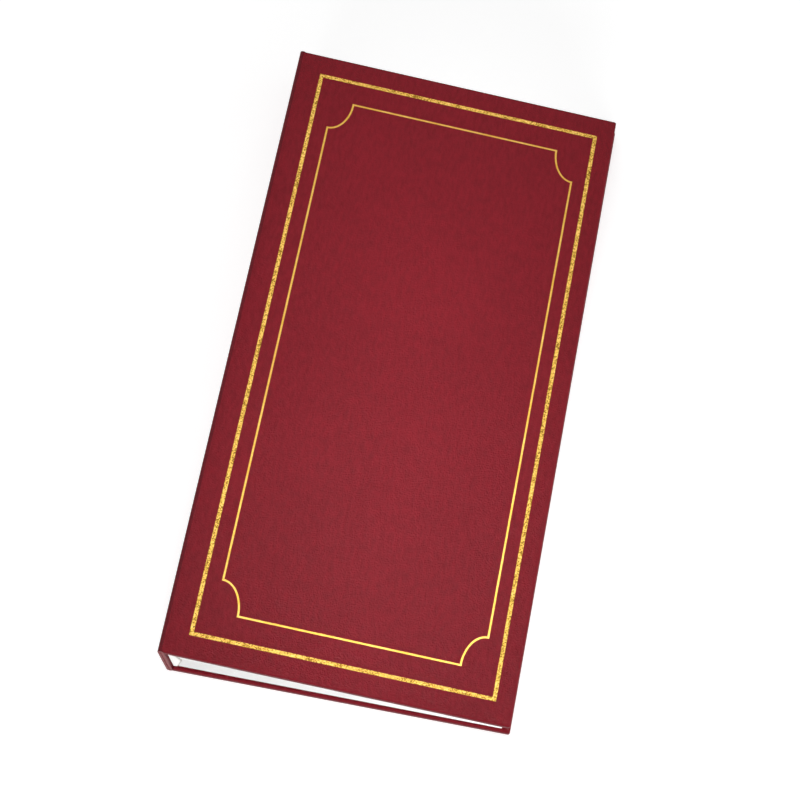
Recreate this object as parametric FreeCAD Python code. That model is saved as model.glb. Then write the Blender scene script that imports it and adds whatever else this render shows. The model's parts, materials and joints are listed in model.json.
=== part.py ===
import FreeCAD, Part
import math
import os

# A bound stamp album, closed and lying on its back cover. Sizes are in millimetres.
# X runs from the spine to the fore-edge, Y from the tail to the head, and Z up.
# The origin is on the table, under the middle of the album's outline.

# Outer size
album_height = 330.0
album_width = 168.0
spine_height = 28.2  # over the spine's rounded edges
spine_lean = 2.9  # how far the spine's foot stands inside its top

# Case: boards covered in leatherette
leather_thickness = 0.5
board_thickness = 2.4
spine_board_thickness = 2.0
fold_groove_width = 0.5  # along the fold at each end of the spine
fold_groove_depth = 0.3
joint_clearance = 0.3  # between a cover and the spine's rounded edge
turn_in_width = 13.0  # leatherette folded over the inside of a board
edge_round = 0.8
corner_round = 1.0
endpaper_thickness = 0.2
endpaper_margin = 5.0  # edge of the board to edge of the endpaper
resting_gap = 0.1  # table to the front cover's fore-edge when the album lies open

# Gilt tooling pressed into the front cover. A margin runs to the middle of its line.
gilt_groove_depth = 0.2
gilt_thickness = 0.12
band_width = 1.9
band_spine_margin = 13.5
band_fore_edge_margin = 9.7
band_end_margin = 11.7
line_width = 0.95
line_spine_margin = 22.3
line_fore_edge_margin = 17.7
line_end_margin = 24.5
notch_across = 10.5
notch_along = 16.1

# Binding: card stubs glued to a cloth lining, each with a linen hinge for one leaf
lining_thickness = 0.4
lining_end_margin = 7.0
shortest_stub = 1.8
step_allowance = 0.06  # each stub is one leaf and this much longer than the one outside it
stub_gap = 0.33  # between a stub and the linen below it
stub_clearance = 0.35  # between the stubs and the covers
linen_thickness = 0.25
linen_start = 0.5  # lining to the linen's edge on its stub
linen_bead_radius = 0.3
bead_reach = 0.6  # end of the stub to the middle of the bead
leaf_hinge_gap = 0.2

# Leaves: white card with clear strips on both faces, and a glassine sheet over each
leaf_count = 12
card_thickness = 0.28
leaf_end_margin = 1.6
leaf_fore_edge_margin = 4.2
leaf_clearance = 0.15  # between a leaf and an endpaper, at the fore-edge
leaf_gap = 0.12  # between two leaves, at the fore-edge
strip_count = 9
strip_thickness = 0.05
strip_gap = 7.0  # between two strips
strip_end_margin = 9.0
strip_gutter = 9.0  # hinge to the strips
strip_side_margin = 4.0
glassine_thickness = 0.03
glassine_gap = 0.01
glassine_margin = 2.0
glassine_gutter = 3.5

# The spine's rounded edges are the hinges of the covers
spine_thickness = spine_board_thickness + 2 * leather_thickness
hinge_radius = spine_thickness / 2
seat_radius = hinge_radius + joint_clearance
front_hinge_x = hinge_radius - album_width / 2
front_hinge_z = spine_height - hinge_radius
back_hinge_x = front_hinge_x + spine_lean
back_hinge_z = hinge_radius
spine_rise = front_hinge_z - back_hinge_z
hinge_span = math.hypot(spine_lean, spine_rise)
lean = math.atan2(spine_lean, spine_rise)

# Both covers are made flat, with the hinge line on the Y axis and the outer face up
front_reach = album_width / 2 - front_hinge_x
back_reach = album_width / 2 - back_hinge_x
cover_thickness = board_thickness + 2 * leather_thickness
outer_z = hinge_radius
inner_z = outer_z - cover_thickness
half_height = album_height / 2

# Leaves lie close together at the fore-edge
leaf_face = card_thickness / 2 + strip_thickness
glassine_z = leaf_face + glassine_gap
leaf_top = glassine_z + glassine_thickness
leaf_pitch = leaf_face + leaf_top + leaf_gap
leaf_half_height = half_height - leaf_end_margin
leaf_end_x = album_width / 2 - leaf_fore_edge_margin
paper_bed_z = cover_thickness + endpaper_thickness + leaf_clearance
lowest_end_z = paper_bed_z + leaf_face
block_top_z = paper_bed_z + leaf_count * leaf_pitch - leaf_gap + leaf_clearance + endpaper_thickness

# The front cover slopes down from the spine until it lies on the leaves
leaf_run = leaf_end_x - front_hinge_x
leaf_fall = front_hinge_z - block_top_z
front_slope = math.acos(-inner_z / math.hypot(leaf_run, leaf_fall)) - math.atan2(leaf_run, leaf_fall)


def front_inner_z(x):
    """Height of the front cover's inner face above the table, at a place along X."""
    return front_hinge_z + inner_z / math.cos(front_slope) - (x - front_hinge_x) * math.tan(front_slope)


# The spine and its stubs are made upright on the back hinge, with X inwards, and then lean.
# Stubs fill the height of the spine, and the longest are in the middle of the block.
lining_x = hinge_radius + lining_thickness
outer_leaf_x = lining_x + shortest_stub + bead_reach
stub_step = leaf_pitch + step_allowance
stub_bed_z = (stub_clearance - inner_z - lining_x * math.sin(lean)) / math.cos(lean)
top_room = front_inner_z(back_hinge_x + outer_leaf_x * math.cos(lean)) - stub_clearance - linen_bead_radius
top_room -= back_hinge_z + outer_leaf_x * math.sin(lean)
highest_hinge_z = top_room / (math.cos(lean) - math.sin(lean) * math.tan(front_slope))
hinge_pitch = (highest_hinge_z + linen_thickness / 2 + stub_gap - stub_bed_z) / leaf_count
stub_thickness = hinge_pitch - linen_thickness - stub_gap
lowest_hinge_z = stub_bed_z + stub_thickness + linen_thickness / 2


class Cover:
    """A cover's length from its hinge, and how far its hinge end slants to clear the spine."""

    def __init__(self, reach, slant):
        self.reach = reach
        self.slant = slant
        self.heel = (seat_radius * math.cos(slant), seat_radius * math.sin(slant))
        self.toe_x = self.heel[0] + (self.heel[1] - inner_z) * math.tan(slant)


front = Cover(front_reach, lean + front_slope)
back = Cover(back_reach, 0)


class Leaf:
    """Where one leaf is hinged and how it lies. Leaf 1 is next to the front cover."""

    def __init__(self, number):
        self.name = f"leaf_{number:02d}"
        from_bottom = leaf_count - number
        self.steps = min(number - 1, from_bottom)
        self.turns_with_front = number - 1 < from_bottom
        self.spine_x = outer_leaf_x + self.steps * stub_step
        self.spine_z = lowest_hinge_z + from_bottom * hinge_pitch
        self.x = back_hinge_x + self.spine_x * math.cos(lean) - self.spine_z * math.sin(lean)
        self.z = back_hinge_z + self.spine_x * math.sin(lean) + self.spine_z * math.cos(lean)
        self.end_z = lowest_end_z + from_bottom * leaf_pitch
        self.slope = math.atan2(self.z - self.end_z, leaf_end_x - self.x)
        self.reach = math.hypot(self.z - self.end_z, leaf_end_x - self.x)


leaves = [Leaf(number) for number in range(1, leaf_count + 1)]


def vector(x, y, z):
    return FreeCAD.Vector(x, y, z)


def line(start, end):
    return Part.makeLine(vector(*start), vector(*end))


def slab(x_low, x_high, half_width, z_low, z_high):
    """A box that reaches as far to the head as to the tail."""
    corner = vector(x_low, -half_width, z_low)
    return Part.makeBox(x_high - x_low, 2 * half_width, z_high - z_low, corner)


def along_y(edges, half_width):
    """A closed outline in the XZ plane, drawn out equally to the head and to the tail."""
    face = Part.Face(Part.Wire(edges))
    face.translate(vector(0, -half_width, 0))
    return face.extrude(vector(0, 2 * half_width, 0))


def arc_about(centre, radius, start_angle, end_angle):
    """An arc in the XZ plane. Angles are in radians, from +X towards +Z."""
    points = []
    for angle in (start_angle, (start_angle + end_angle) / 2, end_angle):
        x = centre[0] + radius * math.cos(angle)
        z = centre[1] + radius * math.sin(angle)
        points.append(vector(x, 0, z))
    return Part.Arc(*points).toShape()


def tilt(shape, slope, x, z):
    """Turn a flat piece down towards the fore-edge about its hinge, then set it in place."""
    shape.rotate(vector(0, 0, 0), vector(0, 1, 0), math.degrees(slope))
    shape.translate(vector(x, 0, z))
    return shape


def cover_outline(cover):
    """Section of a covered board. Its hinge end follows the spine's rounded edge."""
    lip_angle = math.asin(outer_z / seat_radius)
    lip = (seat_radius * math.cos(lip_angle), 0, outer_z)
    heel = (cover.heel[0], 0, cover.heel[1])
    toe = (cover.toe_x, 0, inner_z)
    outer_corner = (cover.reach, 0, outer_z)
    inner_corner = (cover.reach, 0, inner_z)
    return [
        arc_about((0, 0), seat_radius, cover.slant, lip_angle),
        line(lip, outer_corner),
        line(outer_corner, inner_corner),
        line(inner_corner, toe),
        line(toe, heel),
    ]


def soften(solid, reach):
    """Round the corners at the fore-edge, then the free edges of both faces."""
    tolerance = 1e-6
    # A larger radius would bare the board's corners
    largest_round = min(2 * leather_thickness, board_thickness / 2)
    corners = []
    for edge in solid.Edges:
        box = edge.BoundBox
        upright = box.XLength < tolerance and box.YLength < tolerance
        if upright and box.XMin > reach - tolerance:
            corners.append(edge)
    solid = solid.makeFillet(min(corner_round, largest_round), corners)
    free_edges = []
    for edge in solid.Edges:
        box = edge.BoundBox
        level = box.ZLength < tolerance
        on_face = abs(box.ZMin - outer_z) < tolerance
        on_face = on_face or abs(box.ZMin - inner_z) < tolerance
        if level and on_face and box.XMax > reach / 2:
            free_edges.append(edge)
    return solid.makeFillet(min(edge_round, largest_round), free_edges)


def board(cover):
    top = outer_z - leather_thickness
    return slab(
        cover.toe_x + leather_thickness,
        cover.reach - leather_thickness,
        half_height - leather_thickness,
        top - board_thickness,
        top,
    )


def turn_in_window(cover):
    """The part of a board's inside that the folded-over leatherette leaves bare."""
    return slab(
        cover.toe_x + turn_in_width,
        cover.reach - turn_in_width,
        half_height - turn_in_width,
        inner_z,
        inner_z + leather_thickness,
    )


def leatherette(cover):
    whole = soften(along_y(cover_outline(cover), half_height), cover.reach)
    return whole.cut([board(cover), turn_in_window(cover)])


def endpaper(cover):
    """A sheet pasted over the turn-ins, thick enough in the middle to fill their window."""
    sheet = slab(
        cover.toe_x + endpaper_margin,
        cover.reach - endpaper_margin,
        half_height - endpaper_margin,
        inner_z - endpaper_thickness,
        inner_z,
    )
    return sheet.fuse(turn_in_window(cover)).removeSplitter()


def ring(outer_wire, inner_wire):
    """A flat ring, and the groove that is pressed into the leatherette for it."""
    face = Part.Face(outer_wire).cut(Part.Face(inner_wire))
    face.translate(vector(0, 0, outer_z - gilt_groove_depth))
    groove = face.extrude(vector(0, 0, gilt_groove_depth))
    return face.extrude(vector(0, 0, gilt_thickness)), groove


def rectangle(spine_margin, fore_edge_margin, end_margin, offset):
    """Low X, high X and half length of a frame line that stands off from its middle."""
    low = spine_margin - hinge_radius - offset
    high = front_reach - fore_edge_margin + offset
    return low, high, half_height - end_margin + offset


def band_wire(offset):
    low, high, half = rectangle(band_spine_margin, band_fore_edge_margin, band_end_margin, offset)
    points = [(low, -half, 0), (high, -half, 0), (high, half, 0), (low, half, 0)]
    return Part.makePolygon([vector(*p) for p in points + points[:1]])


def notched_wire(offset):
    """A rectangle whose corners are scooped out by quarters of an ellipse."""
    low, high, half = rectangle(line_spine_margin, line_fore_edge_margin, line_end_margin, 0)
    across = notch_across - offset
    along = notch_along - offset
    start = -math.asin(offset / along)
    sweep = math.pi / 2 + math.asin(offset / across) - start
    point_count = 7
    scoops = []
    for x, y in ((low, -half), (high, -half), (high, half), (low, half)):
        toward_x = math.copysign(1, low + high - 2 * x)
        toward_y = math.copysign(1, -y)
        points = []
        for number in range(point_count):
            angle = start + sweep * number / (point_count - 1)
            point_x = x + toward_x * across * math.cos(angle)
            point_y = y + toward_y * along * math.sin(angle)
            points.append(vector(point_x, point_y, 0))
        if toward_x * toward_y > 0:
            points.reverse()
        scoops.append(points)
    edges = []
    for points, following in zip(scoops, scoops[1:] + scoops[:1]):
        curve = Part.BSplineCurve()
        curve.interpolate(points)
        edges.append(curve.toShape())
        edges.append(Part.makeLine(points[-1], following[0]))
    return Part.Wire(edges)


def front_cover():
    """The front cover's pieces, sloping down from the spine to the fore-edge."""
    frame, frame_groove = ring(band_wire(band_width / 2), band_wire(-band_width / 2))
    tooled_line, line_groove = ring(notched_wire(line_width / 2), notched_wire(-line_width / 2))
    pieces = {
        "front_board": board(front),
        "front_leatherette": leatherette(front).cut([frame_groove, line_groove]),
        "front_endpaper": endpaper(front),
        "outer_gilt_frame": frame,
        "inner_gilt_line": tooled_line,
    }
    return {name: tilt(s, front_slope, front_hinge_x, front_hinge_z) for name, s in pieces.items()}


def back_cover():
    """The back cover's pieces, turned over to lie flat on the table."""
    pieces = {
        "back_board": board(back),
        "back_leatherette": leatherette(back),
        "back_endpaper": endpaper(back),
    }
    placed = {}
    for name, shape in pieces.items():
        turned = shape.mirror(vector(0, 0, 0), vector(0, 0, 1))
        placed[name] = tilt(turned, 0, back_hinge_x, back_hinge_z)
    return placed


def spine():
    """A stiff strip in leatherette. Its long edges are round and are the covers' hinges."""
    half_strip = spine_board_thickness / 2
    strip = slab(-half_strip, half_strip, half_height - leather_thickness, 0, hinge_span)
    outline = [
        arc_about((0, 0), hinge_radius, math.pi, 2 * math.pi),
        line((hinge_radius, 0, 0), (hinge_radius, 0, hinge_span)),
        arc_about((0, hinge_span), hinge_radius, 0, math.pi),
        line((-hinge_radius, 0, hinge_span), (-hinge_radius, 0, 0)),
    ]
    half_groove = fold_groove_width / 2
    grooves = slab(-half_groove, half_groove, half_height, 0, hinge_span)
    grooves = grooves.cut(slab(-half_groove, half_groove, half_height - fold_groove_depth, 0, hinge_span))
    covering = along_y(outline, half_height).cut([strip, grooves])
    return {"spine_board": strip, "spine_leatherette": covering}


def stub(leaf):
    top = leaf.spine_z - linen_thickness / 2
    return slab(lining_x, leaf.spine_x - bead_reach, leaf_half_height, top - stub_thickness, top)


def linen_hinge(leaf):
    """A linen strip on its stub, ending in a bead that the leaf turns about."""
    low = leaf.spine_z - linen_thickness / 2
    high = leaf.spine_z + linen_thickness / 2
    start = lining_x + linen_start
    neck_angle = math.pi - math.asin(linen_thickness / 2 / linen_bead_radius)
    neck = leaf.spine_x + linen_bead_radius * math.cos(neck_angle)
    outline = [
        line((start, 0, low), (neck, 0, low)),
        arc_about((leaf.spine_x, leaf.spine_z), linen_bead_radius, -neck_angle, neck_angle),
        line((neck, 0, high), (start, 0, high)),
        line((start, 0, high), (start, 0, low)),
    ]
    return along_y(outline, leaf_half_height)


def binding():
    """What the spine carries: the lining, and a stub and a linen hinge for each leaf."""
    lowest = stub(leaves[-1]).BoundBox.ZMin
    highest = stub(leaves[0]).BoundBox.ZMax
    return {
        "spine_lining": slab(hinge_radius, lining_x, half_height - lining_end_margin, lowest, highest),
        "guard_stubs": Part.Compound([stub(leaf) for leaf in leaves]),
        "linen_hinges": Part.Compound([linen_hinge(leaf) for leaf in leaves]),
    }


def leaning_spine():
    pieces = {**spine(), **binding()}
    return {name: tilt(s, -lean, back_hinge_x, back_hinge_z) for name, s in pieces.items()}


def strips(leaf):
    """Clear strips in rows on both faces. Each is fixed along its lower edge and its sides."""
    rows = []
    first = strip_end_margin - leaf_half_height
    spacing = (strip_gap - 2 * first) / strip_count
    depth = spacing - strip_gap
    width = leaf.reach - strip_side_margin - strip_gutter
    for face_z in (card_thickness / 2, -leaf_face):
        for row in range(strip_count):
            corner = vector(strip_gutter, first + row * spacing, face_z)
            rows.append(Part.makeBox(width, depth, strip_thickness, corner))
    return Part.Compound(rows)


def leaf_pieces(leaf):
    start = linen_bead_radius + leaf_hinge_gap
    half = card_thickness / 2
    card = slab(start, leaf.reach, leaf_half_height, -half, half)
    glassine = slab(
        glassine_gutter,
        leaf.reach - glassine_margin,
        leaf_half_height - glassine_margin,
        glassine_z,
        leaf_top,
    )
    pieces = {
        leaf.name + "_card": card,
        leaf.name + "_strips": strips(leaf),
        leaf.name + "_glassine": glassine,
    }
    return {name: tilt(s, leaf.slope, leaf.x, leaf.z) for name, s in pieces.items()}


def open_angles():
    """How far each piece turns about its hinge as the spine turns down flat on the table."""
    upright = math.pi / 2
    angles = {
        "spine": upright - lean,
        "front_cover": upright + lean + front_slope - math.asin(resting_gap / front_reach),
    }
    for number, leaf in enumerate(leaves, 1):
        hinge_height = hinge_radius + leaf.spine_x
        if leaf.turns_with_front:
            end_height = paper_bed_z + resting_gap + leaf_top + (number - 1) * leaf_pitch
            turn = upright + lean + leaf.slope
        else:
            end_height = paper_bed_z + leaf_face + (leaf_count - number) * leaf_pitch
            turn = upright - lean - leaf.slope
        angles[leaf.name] = turn + math.asin((hinge_height - end_height) / leaf.reach)
    return angles


def main():
    os.makedirs("parts", exist_ok=True)
    pieces = {**back_cover(), **leaning_spine(), **front_cover()}
    for leaf in leaves:
        pieces.update(leaf_pieces(leaf))
    for name, shape in pieces.items():
        shape.exportStep(f"parts/{name}.step")
    angles = {name: math.degrees(angle) for name, angle in open_angles().items()}
    print(f"spine hinge x {back_hinge_x:.4f} z {back_hinge_z:.4f} opens {angles['spine']:.3f}")
    print(f"front hinge x {front_hinge_x:.4f} z {front_hinge_z:.4f} opens {angles['front_cover']:.3f}")
    for leaf in leaves:
        side = "front" if leaf.turns_with_front else "back"
        print(f"{leaf.name} x {leaf.x:.4f} z {leaf.z:.4f} opens {angles[leaf.name]:.3f} to the {side}")


main()
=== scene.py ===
import json
import math

import bmesh
import bpy
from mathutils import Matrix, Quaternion, Vector

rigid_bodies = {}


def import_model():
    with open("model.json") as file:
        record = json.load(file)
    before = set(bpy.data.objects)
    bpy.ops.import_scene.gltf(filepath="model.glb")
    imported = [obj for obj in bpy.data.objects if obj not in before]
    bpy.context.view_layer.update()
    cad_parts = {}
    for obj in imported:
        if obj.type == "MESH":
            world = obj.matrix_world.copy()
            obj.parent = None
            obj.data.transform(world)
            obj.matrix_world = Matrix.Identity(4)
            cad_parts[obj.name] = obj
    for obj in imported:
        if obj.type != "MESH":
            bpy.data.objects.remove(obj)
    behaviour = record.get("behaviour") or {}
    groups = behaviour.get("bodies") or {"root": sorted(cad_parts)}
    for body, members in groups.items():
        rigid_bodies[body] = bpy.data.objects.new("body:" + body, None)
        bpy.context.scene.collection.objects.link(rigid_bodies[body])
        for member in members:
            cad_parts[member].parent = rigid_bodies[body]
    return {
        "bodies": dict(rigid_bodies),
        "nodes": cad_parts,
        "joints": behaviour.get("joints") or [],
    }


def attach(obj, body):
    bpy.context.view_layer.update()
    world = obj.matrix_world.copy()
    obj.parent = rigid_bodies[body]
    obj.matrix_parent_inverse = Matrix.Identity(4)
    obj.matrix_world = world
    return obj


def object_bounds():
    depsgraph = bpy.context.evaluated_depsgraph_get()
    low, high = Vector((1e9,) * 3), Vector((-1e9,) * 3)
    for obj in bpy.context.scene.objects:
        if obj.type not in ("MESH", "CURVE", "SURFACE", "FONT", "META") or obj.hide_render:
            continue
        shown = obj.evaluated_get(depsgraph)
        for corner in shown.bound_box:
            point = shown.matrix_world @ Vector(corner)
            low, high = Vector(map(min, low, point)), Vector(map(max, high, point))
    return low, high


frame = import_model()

# A closed stamp album on a pale floor. Lengths are in metres.
cad_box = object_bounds()
scene = bpy.context.scene
nodes = frame["nodes"]
joints = {joint["name"]: joint for joint in frame["joints"]}
leaf_names = sorted(name for name in frame["bodies"] if name.startswith("leaf_"))
MM = 0.001
album_end = cad_box[1][1]  # middle of the album to its head or tail

# The case's joints, as the solids have them
hinge_radius = 1.5 * MM
seat_radius = 1.8 * MM
front_slope = 0.08808  # radians

# Leather that fills the joints
joint_gap = 0.03 * MM  # to the spine's rounded edge
joint_end_inset = 0.4 * MM  # to the head and the tail
slide_points = 9  # along the spine's edge
seat_points = 5  # along the cover

strip_stand_off = 0.008 * MM  # strips to the card that they lie on

# Camera
image_pixels = 800
focal_pixels = 2430.7
camera_place = Vector((0.0568, -0.4844, 1.1118))
camera_aim = Vector((0.0023, -0.0125, 0.015))
camera_roll = math.radians(4.46)

# World and floor
world_strength = 0.36
floor_size = 2.4
floor_gap = 0.05 * MM  # under the album
floor_colour = (0.66, 0.66, 0.66, 1)
floor_glow = 0.62
white = (1, 1, 1, 1)

# Colours
burgundy = (0.238, 0.0100, 0.0188, 1)
dark_burgundy = (0.174, 0.0070, 0.0134, 1)
# Painted shade on the covers' head and tail faces
painted_end_shade = (0.050, 0.0040, 0.0062, 1)
# The spine's colours, darkened as painted shade
spine_burgundy_painted_shade = (0.150, 0.0085, 0.0150, 1)
dark_spine_painted_shade = (0.110, 0.0060, 0.0110, 1)
# Painted sheen with wear on the spine's head and tail faces: paler, pinker and matt
worn_and_sheen_burgundy = (0.098, 0.028, 0.029, 1)
gold = (0.82, 0.49, 0.070, 1)
pale_gold = (0.92, 0.62, 0.19, 1)
line_gold = (0.80, 0.50, 0.12, 1)
old_gold = (0.68, 0.37, 0.050, 1)
dark_gold = (0.21, 0.10, 0.007, 1)
paper_white = (0.90, 0.90, 0.895, 1)
paper_shade = (0.87, 0.87, 0.865, 1)
# The stub card, grey as painted shade
stub_grey_painted_shade = (0.54, 0.54, 0.53, 1)
stub_darker_painted_shade = (0.49, 0.49, 0.48, 1)
# Linen's own off-white, darkened as painted shade
linen_white_with_painted_shade = (0.60, 0.585, 0.55, 1)
linen_shade_with_painted_shade = (0.46, 0.445, 0.41, 1)
board_grey = (0.36, 0.33, 0.29, 1)
board_shade = (0.25, 0.22, 0.19, 1)
strip_clear = (0.82, 0.86, 0.88, 1)
strip_shade = (0.74, 0.79, 0.82, 1)
glassine_white = (0.94, 0.94, 0.92, 1)
glassine_shade = (0.89, 0.89, 0.87, 1)


def new_material(name, **constants):
    """A node material, with values that are the same all over set on the shader itself."""
    material = bpy.data.materials.new(name)
    material.use_nodes = True
    shader = material.node_tree.nodes["Principled BSDF"]
    for socket, value in constants.items():
        shader.inputs[socket.replace("_", " ")].default_value = value
    return material, material.node_tree, shader


def place(tree, stretch=(1, 1, 1)):
    """Coordinates of the object, in metres, stretched along its axes."""
    coordinates = tree.nodes.new("ShaderNodeTexCoord")
    mapping = tree.nodes.new("ShaderNodeMapping")
    mapping.inputs["Scale"].default_value = stretch
    tree.links.new(coordinates.outputs["Object"], mapping.inputs["Vector"])
    return mapping.outputs["Vector"]


def noise(tree, vector, size, detail=3.0, roughness=0.55):
    """Cloudy noise whose patches are about one size across, in metres."""
    texture = tree.nodes.new("ShaderNodeTexNoise")
    texture.inputs["Scale"].default_value = 1 / size
    texture.inputs["Detail"].default_value = detail
    texture.inputs["Roughness"].default_value = roughness
    tree.links.new(vector, texture.inputs["Vector"])
    return texture.outputs["Fac"]


def cells(tree, vector, size):
    """Pebbles about one size across, as the distance from the middle of each."""
    texture = tree.nodes.new("ShaderNodeTexVoronoi")
    texture.feature = "SMOOTH_F1"
    texture.inputs["Scale"].default_value = 1 / size
    texture.inputs["Smoothness"].default_value = 0.6
    tree.links.new(vector, texture.inputs["Vector"])
    return texture.outputs["Distance"]


def waves(tree, vector, size, direction):
    """Uneven bands, each one size wide, which follow each other in one direction."""
    band_at_scale_one = math.pi / 10
    texture = tree.nodes.new("ShaderNodeTexWave")
    texture.bands_direction = direction
    texture.inputs["Scale"].default_value = band_at_scale_one / size
    texture.inputs["Distortion"].default_value = 0.8
    texture.inputs["Detail Scale"].default_value = 2.0
    tree.links.new(vector, texture.inputs["Vector"])
    return texture.outputs["Fac"]


def math_node(tree, operation, first, second):
    """One operation on two values, each a number or a socket."""
    node = tree.nodes.new("ShaderNodeMath")
    node.operation = operation
    for socket, value in zip(node.inputs, (first, second)):
        if isinstance(value, (int, float)):
            socket.default_value = value
        else:
            tree.links.new(value, socket)
    return node.outputs["Value"]


def mixed(tree, first, second, share):
    """Two factors of 0 to 1 in one, of which the second has the share given."""
    node = tree.nodes.new("ShaderNodeMix")
    node.inputs["Factor"].default_value = share
    tree.links.new(first, node.inputs["A"])
    tree.links.new(second, node.inputs["B"])
    return node.outputs["Result"]


def giving_way(tree, factor, colour, other):
    """A colour that gives way to another one as the factor goes from 0 to 1."""
    node = tree.nodes.new("ShaderNodeMix")
    node.data_type = "RGBA"
    tree.links.new(factor, node.inputs["Factor"])
    tree.links.new(colour, node.inputs["A"])
    node.inputs["B"].default_value = other
    return node.outputs["Result"]


def ramp(tree, factor, *stops):
    """Colours, each with the factor at which it stands."""
    node = tree.nodes.new("ShaderNodeValToRGB")
    elements = node.color_ramp.elements
    while len(elements) < len(stops):
        elements.new(1.0)
    for element, (position, colour) in zip(elements, stops):
        element.position = position
        element.color = colour
    tree.links.new(factor, node.inputs["Fac"])
    return node.outputs["Color"]


def spread(tree, factor, low, high):
    """A factor of 0 to 1, spread from one value to another."""
    node = tree.nodes.new("ShaderNodeMapRange")
    node.inputs["To Min"].default_value = low
    node.inputs["To Max"].default_value = high
    tree.links.new(factor, node.inputs["Value"])
    return node.outputs["Result"]


def bump(tree, shader, height, depth, strength=1.0):
    """Relief of one depth, in metres, on top of what the shader already has."""
    node = tree.nodes.new("ShaderNodeBump")
    node.inputs["Strength"].default_value = strength
    node.inputs["Distance"].default_value = depth
    tree.links.new(height, node.inputs["Height"])
    socket = shader.inputs["Normal"]
    if socket.is_linked:
        tree.links.new(socket.links[0].from_socket, node.inputs["Normal"])
    tree.links.new(node.outputs["Normal"], socket)


def near_ends(tree, margin):
    """1 at the head and tail ends of the album, 0 from one margin inside them."""
    axes = tree.nodes.new("ShaderNodeSeparateXYZ")
    tree.links.new(place(tree), axes.inputs["Vector"])
    distance = math_node(tree, "ABSOLUTE", axes.outputs["Y"], 0)
    node = tree.nodes.new("ShaderNodeMapRange")
    node.interpolation_type = "SMOOTHSTEP"
    node.inputs["From Min"].default_value = album_end - margin
    node.inputs["From Max"].default_value = album_end
    tree.links.new(distance, node.inputs["Value"])
    return node.outputs["Result"]


def leatherette(name, main, shade, painted_end_colour, end_margin):
    """Satin leatherette: pebbled grain, faint creases and cloudy colour; its ends are matt, patchy
    and painted in the end colour given, which is painted light.
    """
    material, tree, shader = new_material(name, Coat_Weight=0.10, Coat_Roughness=0.26)
    clouds = noise(tree, place(tree), size=45 * MM, detail=4.0)
    grain = cells(tree, place(tree), size=0.75 * MM)
    creases = noise(tree, place(tree, stretch=(1, 0.35, 1)), size=1.6 * MM, roughness=0.6)
    dents = noise(tree, place(tree), size=14 * MM, detail=2.0)
    tone = mixed(tree, clouds, creases, share=0.75)
    colour = ramp(tree, tone, (0.30, shade), (0.62, main))
    patchy = spread(tree, creases, low=0.7, high=1.0)
    # Painted light at the ends, patchy where rubbed: painted shade on the covers' ends, painted
    # sheen with wear on the spine's
    painted_and_rubbed_ends = math_node(tree, "MULTIPLY", near_ends(tree, end_margin), patchy)
    colour = giving_way(tree, painted_and_rubbed_ends, colour, painted_end_colour)
    gloss = spread(tree, painted_and_rubbed_ends, low=0.08, high=0.02)
    tree.links.new(colour, shader.inputs["Base Color"])
    tree.links.new(gloss, shader.inputs["Specular IOR Level"])
    tree.links.new(spread(tree, creases, low=0.32, high=0.48), shader.inputs["Roughness"])
    bump(tree, shader, dents, depth=0.25 * MM)
    bump(tree, shader, creases, depth=0.20 * MM)
    bump(tree, shader, grain, depth=0.18 * MM)
    relief = shader.inputs["Normal"].links[0].from_socket
    tree.links.new(relief, shader.inputs["Coat Normal"])
    return material


def mottled_gilt():
    """Foil pressed over a rough ground: bright, pitted and flecked with dark."""
    material, tree, shader = new_material("mottled_gilt", Metallic=0.85)
    pits = noise(tree, place(tree), size=0.7 * MM, detail=2.0, roughness=0.8)
    patches = noise(tree, place(tree), size=5 * MM, detail=2.0)
    tone = mixed(tree, pits, patches, share=0.2)
    colour = ramp(tree, tone, (0.43, dark_gold), (0.50, gold), (0.62, pale_gold))
    tree.links.new(colour, shader.inputs["Base Color"])
    tree.links.new(spread(tree, pits, low=0.60, high=0.30), shader.inputs["Roughness"])
    bump(tree, shader, pits, depth=0.18 * MM)
    return material


def plain_gilt():
    """Smooth foil in a thin line, a little uneven where it was pressed."""
    material, tree, shader = new_material("plain_gilt", Metallic=0.85)
    patches = noise(tree, place(tree), size=9 * MM)
    fine = noise(tree, place(tree), size=0.9 * MM, detail=2.0)
    tone = mixed(tree, patches, fine, share=0.5)
    colour = ramp(tree, tone, (0.38, old_gold), (0.62, line_gold))
    tree.links.new(colour, shader.inputs["Base Color"])
    tree.links.new(spread(tree, fine, low=0.28, high=0.50), shader.inputs["Roughness"])
    bump(tree, shader, fine, depth=0.05 * MM)
    return material


def card(name, main, shade, fibre=0.4 * MM):
    """Smooth card or paper with faint fibres."""
    material, tree, shader = new_material(name, Specular_IOR_Level=0.3)
    fibres = noise(tree, place(tree, stretch=(1, 0.35, 1)), fibre, detail=4.0, roughness=0.7)
    clouds = noise(tree, place(tree), size=12 * MM)
    tone = mixed(tree, clouds, fibres, share=0.4)
    colour = ramp(tree, tone, (0.35, shade), (0.60, main))
    tree.links.new(colour, shader.inputs["Base Color"])
    tree.links.new(spread(tree, fibres, low=0.62, high=0.80), shader.inputs["Roughness"])
    bump(tree, shader, fibres, depth=0.02 * MM)
    return material


def cloth(name, thread):
    """Plain woven cloth, with threads that cross at right angles."""
    material, tree, shader = new_material(name, Specular_IOR_Level=0.2, Sheen_Weight=0.15)
    warp = waves(tree, place(tree), thread, "X")
    weft = waves(tree, place(tree), thread, "Y")
    weave = math_node(tree, "MAXIMUM", warp, weft)
    # The weave in the linen's own off-white, darkened as painted shade
    colour = ramp(tree, weave, (0.30, linen_shade_with_painted_shade), (0.95, linen_white_with_painted_shade))
    tree.links.new(colour, shader.inputs["Base Color"])
    tree.links.new(spread(tree, weave, low=0.92, high=0.75), shader.inputs["Roughness"])
    bump(tree, shader, weave, depth=0.08 * MM)
    return material


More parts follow.
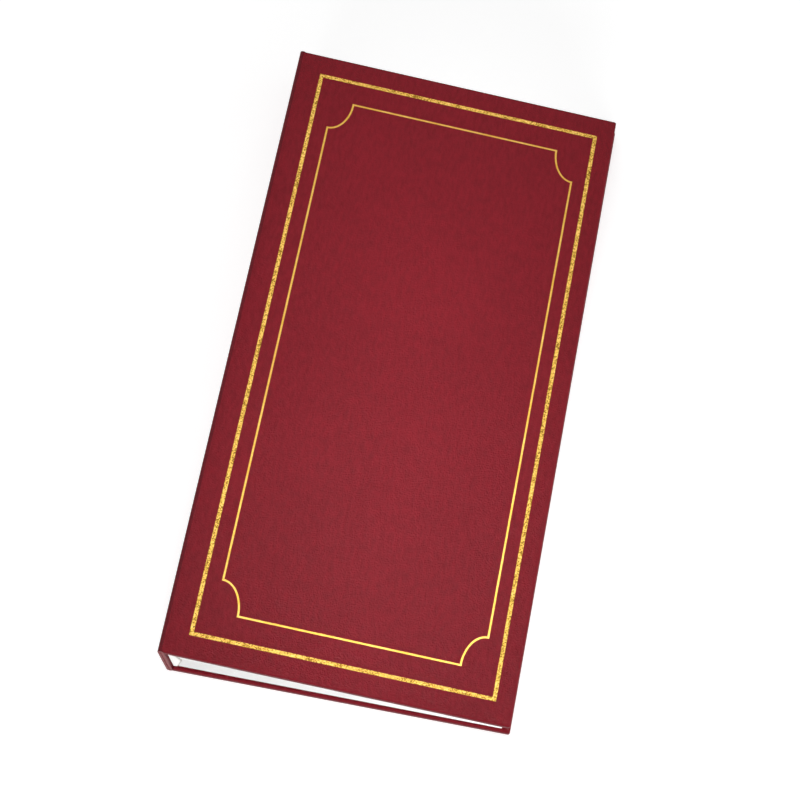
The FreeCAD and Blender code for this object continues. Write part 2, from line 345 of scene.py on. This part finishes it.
def film(name, colour, shade, opacity, roughness, fold):
    """A thin see-through sheet with faint folds about one size across."""
    material, tree, shader = new_material(name, Alpha=opacity, Specular_IOR_Level=0.6)
    folds = noise(tree, place(tree, stretch=(1, 0.4, 1)), fold)
    tint = ramp(tree, folds, (0.35, shade), (0.65, colour))
    dullest = roughness + 0.15
    tree.links.new(tint, shader.inputs["Base Color"])
    tree.links.new(spread(tree, folds, roughness, dullest), shader.inputs["Roughness"])
    bump(tree, shader, folds, depth=0.10 * MM, strength=0.5)
    return material


def paint(material, *names):
    """Give CAD nodes one material."""
    for name in names:
        mesh = nodes[name].data
        mesh.materials.clear()
        mesh.materials.append(material)


def arc(radius, start, end, count):
    """Points on an arc about a joint: how far along the cover and how far out of it."""
    angles = [start + (end - start) * number / (count - 1) for number in range(count)]
    return [(radius * math.cos(angle), radius * math.sin(angle)) for angle in angles]


def joint_leather(name, hinge, slope, outward, body, material):
    """Leather that fills a joint flush with its cover and slides round the spine's edge."""
    slide_radius = hinge_radius + joint_gap
    # Angles at which the arcs meet the outer face, and at which both end inside the joint
    slide_rim = math.asin(hinge_radius / slide_radius)
    seat_rim = math.asin(hinge_radius / seat_radius)
    foot = seat_rim / 2
    section = arc(slide_radius, slide_rim, foot, slide_points)
    section += arc(seat_radius, foot, seat_rim, seat_points)
    half = album_end - joint_end_inset
    mesh = bpy.data.meshes.new(name)
    form = bmesh.new()
    ends = []
    for y in (-half, half):
        ring = []
        for along, out in section:
            x = hinge[0] + along * math.cos(slope) + out * math.sin(slope)
            z = hinge[2] + outward * out * math.cos(slope) - along * math.sin(slope)
            ring.append(form.verts.new((x, y, z)))
        ends.append(ring)
        form.faces.new(ring)
    for number in range(len(section)):
        following = (number + 1) % len(section)
        corners = [ends[0][number], ends[0][following], ends[1][following], ends[1][number]]
        form.faces.new(corners)
    bmesh.ops.recalc_face_normals(form, faces=form.faces)
    form.to_mesh(mesh)
    form.free()
    mesh.materials.append(material)
    piece = bpy.data.objects.new(name, mesh)
    scene.collection.objects.link(piece)
    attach(piece, body)


def stand_off(strips):
    """Keep the strips' faces just off the card that they lie on, so that the two don't flicker."""
    inset = strips.modifiers.new("stand_off", "DISPLACE")
    inset.mid_level = 0
    inset.strength = -strip_stand_off


def dress_case():
    """Finish of the covers and the spine, with the leather in their joints."""
    # The covers' head and tail faces get painted shade
    leather = leatherette(
        "burgundy_leatherette", burgundy, dark_burgundy, painted_end_shade, end_margin=1.0 * MM)
    paint(leather, "front_leatherette", "back_leatherette")
    # The spine is painted darker than the covers as painted shade, with painted sheen and wear on
    # its ends
    spine_leather_painted_shade = leatherette(
        "spine_leatherette", spine_burgundy_painted_shade, dark_spine_painted_shade, worn_and_sheen_burgundy, end_margin=0.5 * MM)
    paint(spine_leather_painted_shade, "spine_leatherette")
    joint_leather(
        "front_joint_leather", joints["front_hinge"]["pos_m"], slope=front_slope, outward=1,
        body="front_cover", material=leather)
    joint_leather(
        "back_joint_leather", joints["spine_hinge"]["pos_m"], slope=0, outward=-1,
        body="back_cover", material=leather)
    paint(mottled_gilt(), "outer_gilt_frame")
    paint(plain_gilt(), "inner_gilt_line")
    endpaper = card("white_endpaper", paper_white, paper_shade, fibre=0.8 * MM)
    paint(endpaper, "front_endpaper", "back_endpaper")
    greyboard = card("grey_board", board_grey, board_shade, fibre=1.5 * MM)
    paint(greyboard, "front_board", "spine_board", "back_board")


def dress_leaves():
    """Finish of the leaves and of the binding that holds them."""
    # The stub card is painted grey, as painted shade on the stubs by the spine
    paint(card("stub_card", stub_grey_painted_shade, stub_darker_painted_shade), "guard_stubs")
    # Linen whose own off-white is darkened as painted shade
    paint(cloth("linen", thread=0.5 * MM), "linen_hinges")
    paint(cloth("lining_cloth", thread=0.9 * MM), "spine_lining")
    leaf_card = card("leaf_card", paper_white, paper_shade)
    paint(leaf_card, *[leaf + "_card" for leaf in leaf_names])
    clear_film = film(
        "clear_strip", strip_clear, strip_shade, opacity=0.18, roughness=0.08, fold=30 * MM)
    strip_names = [leaf + "_strips" for leaf in leaf_names]
    paint(clear_film, *strip_names)
    for name in strip_names:
        stand_off(nodes[name])
    glazed_paper = film(
        "glassine", glassine_white, glassine_shade, opacity=0.28, roughness=0.32, fold=20 * MM)
    paint(glazed_paper, *[leaf + "_glassine" for leaf in leaf_names])


def aim(thing, target):
    """Turn a camera or a lamp towards a point."""
    thing.rotation_mode = "QUATERNION"
    thing.rotation_quaternion = (target - thing.location).to_track_quat("-Z", "Y")


def add_camera():
    """The photo's view, as fitted to the edges of the covers and the gilt lines."""
    data = bpy.data.cameras.new("camera")
    data.lens = data.sensor_width * focal_pixels / image_pixels
    camera = bpy.data.objects.new("camera", data)
    scene.collection.objects.link(camera)
    camera.location = camera_place
    aim(camera, camera_aim)
    roll = Quaternion((0, 0, 1), camera_roll)
    camera.rotation_quaternion = camera.rotation_quaternion @ roll
    scene.camera = camera


def add_light(name, location, target, size, power, cone, mirrored=True):
    """A soft lamp, whose light fades out at the sides of its cone and which gloss may mirror."""
    data = bpy.data.lights.new(name, "AREA")
    data.shape = "RECTANGLE"
    data.size, data.size_y = size
    data.energy = power
    data.spread = cone
    lamp = bpy.data.objects.new(name, data)
    scene.collection.objects.link(lamp)
    lamp.location = location
    lamp.visible_glossy = mirrored
    aim(lamp, target)


def add_lights():
    """A pool of light along the cover, a sheen at its tail, and low fills for both ends."""
    origin = Vector((0, 0, 0))
    fill_cone = math.radians(110)
    add_light(
        "overhead", location=Vector((0.0, -0.09, 1.25)), target=Vector((0.0, 0.0, 0.02)),
        size=(0.08, 0.28), power=0.053, cone=math.radians(12))
    add_light(
        "sheen", location=Vector((0.25, 0.22, 1.20)), target=Vector((0.06, -0.15, 0.01)),
        size=(0.25, 0.25), power=0.034, cone=math.radians(14))
    add_light(
        "tail_fill", location=Vector((0.15, -1.25, 0.17)), target=origin,
        size=(1.6, 0.3), power=13, cone=fill_cone, mirrored=False)
    add_light(
        "head_fill", location=Vector((-0.30, 1.30, 0.45)), target=origin,
        size=(1.6, 0.6), power=3.2, cone=fill_cone, mirrored=False)


def seen_or_mirrored(tree):
    """1 on rays from the camera and on those that metal, gloss or glass send on."""
    path = tree.nodes.new("ShaderNodeLightPath")
    seen = path.outputs["Is Camera Ray"]
    either = math_node(tree, "MAXIMUM", seen, path.outputs["Is Glossy Ray"])
    return math_node(tree, "MAXIMUM", either, path.outputs["Is Transmission Ray"])


def add_world():
    """Soft light from all round, which looks white where it is seen or mirrored."""
    world = bpy.data.worlds.new("studio")
    scene.world = world
    world.use_nodes = True
    tree = world.node_tree
    background = tree.nodes["Background"]
    background.inputs["Color"].default_value = white
    strength = spread(tree, seen_or_mirrored(tree), low=world_strength, high=1.0)
    tree.links.new(strength, background.inputs["Strength"])


def add_floor():
    """A pale floor that looks white away from the album and keeps its shadow."""
    mesh = bpy.data.meshes.new("floor")
    half = floor_size / 2
    corners = [(-half, -half), (half, -half), (half, half), (-half, half)]
    mesh.from_pydata([(x, y, -floor_gap) for x, y in corners], [], [(0, 1, 2, 3)])
    floor = bpy.data.objects.new("floor", mesh)
    scene.collection.objects.link(floor)
    material, tree, shader = new_material("floor", Roughness=0.9, Specular_IOR_Level=0.0)
    shader.inputs["Base Color"].default_value = floor_colour
    shader.inputs["Emission Color"].default_value = white
    glow = spread(tree, seen_or_mirrored(tree), low=0.0, high=floor_glow)
    tree.links.new(glow, shader.inputs["Emission Strength"])
    mesh.materials.append(material)


dress_case()
dress_leaves()
add_camera()
add_world()
add_floor()
add_lights()
scene.view_settings.view_transform = "Standard"
